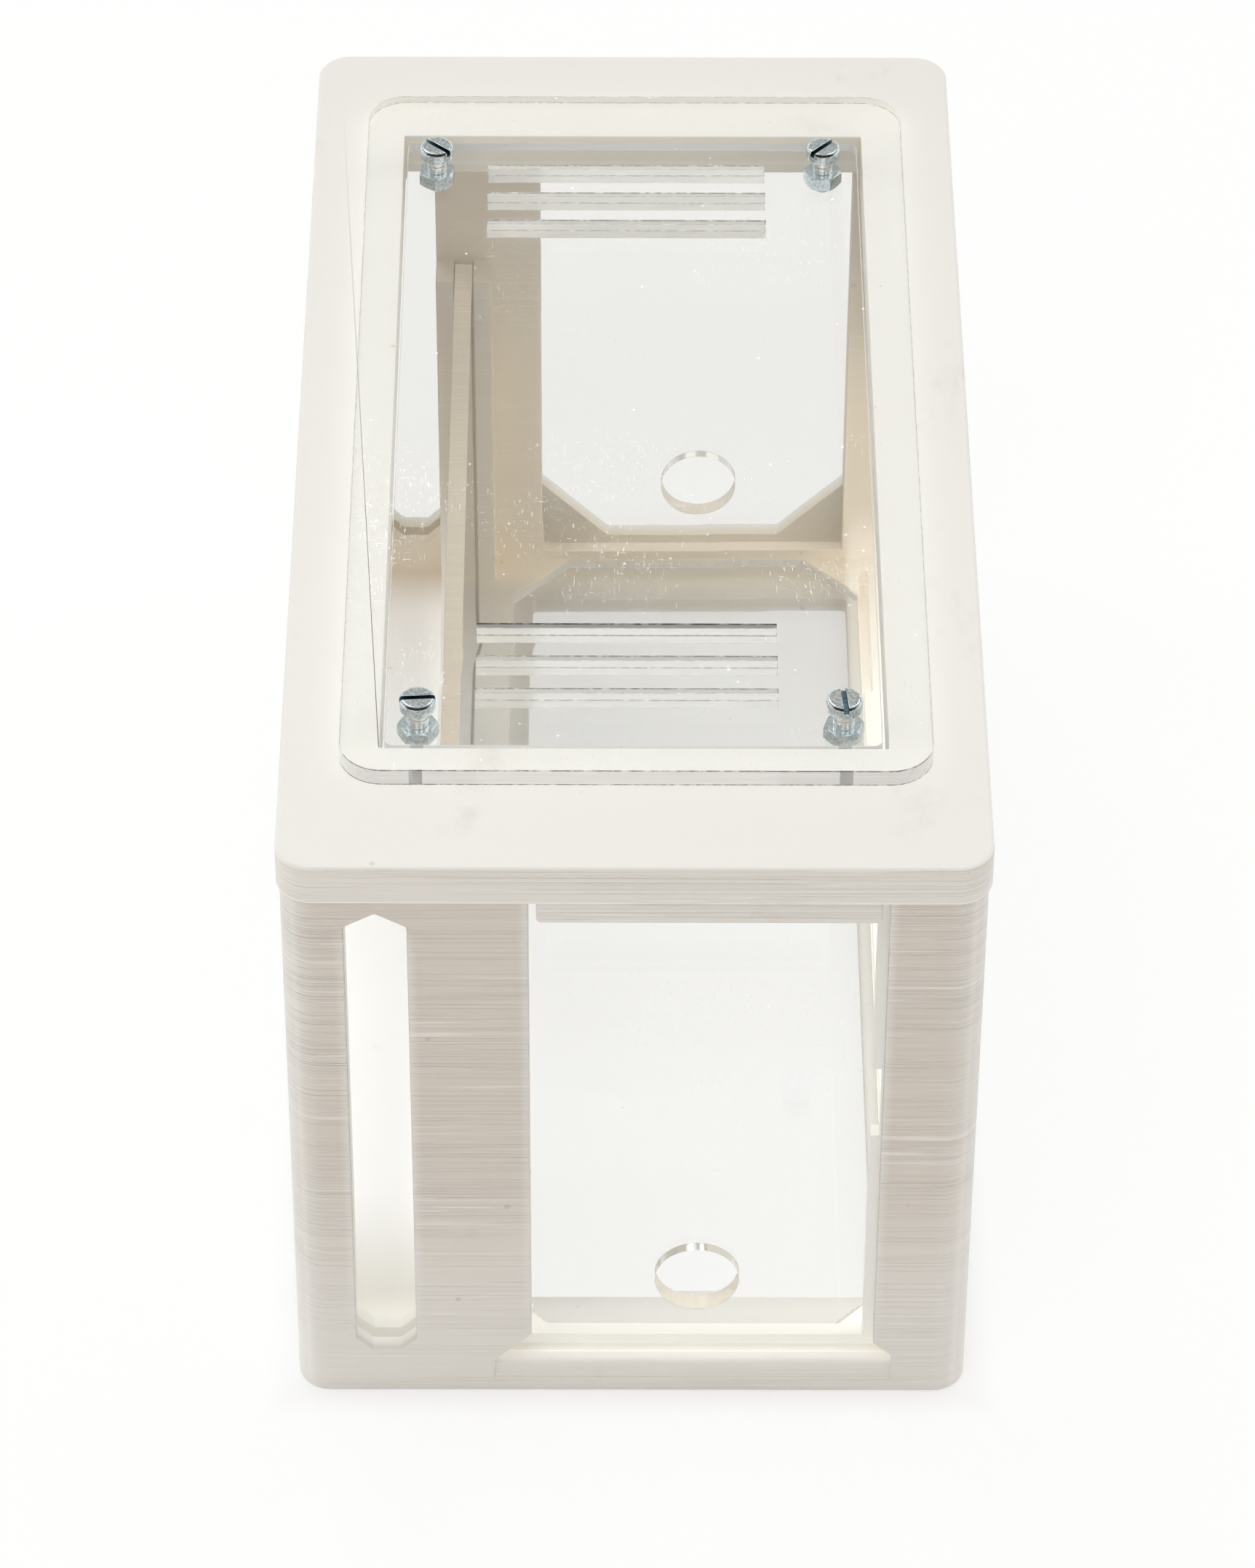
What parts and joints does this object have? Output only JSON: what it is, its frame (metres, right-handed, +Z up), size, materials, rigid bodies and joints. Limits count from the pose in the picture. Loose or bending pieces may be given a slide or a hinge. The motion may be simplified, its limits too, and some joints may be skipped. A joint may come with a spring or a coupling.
{
  "type": "ant habitat",
  "caption": "Box-shaped printed ant habitat with clear window panes, tube ports, a sliding divider, a lift-off lid and a bolted clear hatch with vent slots.",
  "frame": {"origin": "centre of the housing's footprint, on the surface it stands on", "axes": "+X to the right seen from the front window, +Y from the front window towards the back window, +Z up"},
  "size_m": [0.106, 0.205, 0.117],
  "materials": {
    "printed_housing": "matte",
    "printed_lid": "matte",
    "hatch_acrylic": "clear polished",
    "pane_acrylic": "clear polished",
    "divider_acrylic": "clear polished",
    "zinc_screws": "bright zinc plated",
    "zinc_nuts": "bright zinc plated"
  },
  "bodies": {
    "housing": {"housing": "printed_housing", "front_pane": "pane_acrylic", "back_pane": "pane_acrylic", "front_side_pane": "pane_acrylic", "back_side_pane": "pane_acrylic", "floor_pane": "pane_acrylic"},
    "lid": {"lid_frame": "printed_lid"},
    "hatch": {"hatch_upper_plate": "hatch_acrylic", "hatch_lower_plate": "hatch_acrylic", "hatch_screw_1": "zinc_screws", "hatch_screw_2": "zinc_screws", "hatch_screw_3": "zinc_screws", "hatch_screw_4": "zinc_screws", "hatch_nut_1": "zinc_nuts", "hatch_nut_2": "zinc_nuts", "hatch_nut_3": "zinc_nuts", "hatch_nut_4": "zinc_nuts"},
    "divider": {"divider_pane": "divider_acrylic"}
  },
  "joints": [
    {"name": "lid_lift", "type": "slide", "parent": "housing", "child": "lid", "axis": [0, 0, 1], "range_m": [0, 0.05]},
    {"name": "hatch_lift", "type": "slide", "parent": "lid", "child": "hatch", "axis": [0, 0, 1], "range_m": [0, 0.03]},
    {"name": "divider_slide", "type": "slide", "parent": "housing", "child": "divider", "axis": [0, 0, 1], "range_m": [0, 0.03]}
  ]
}
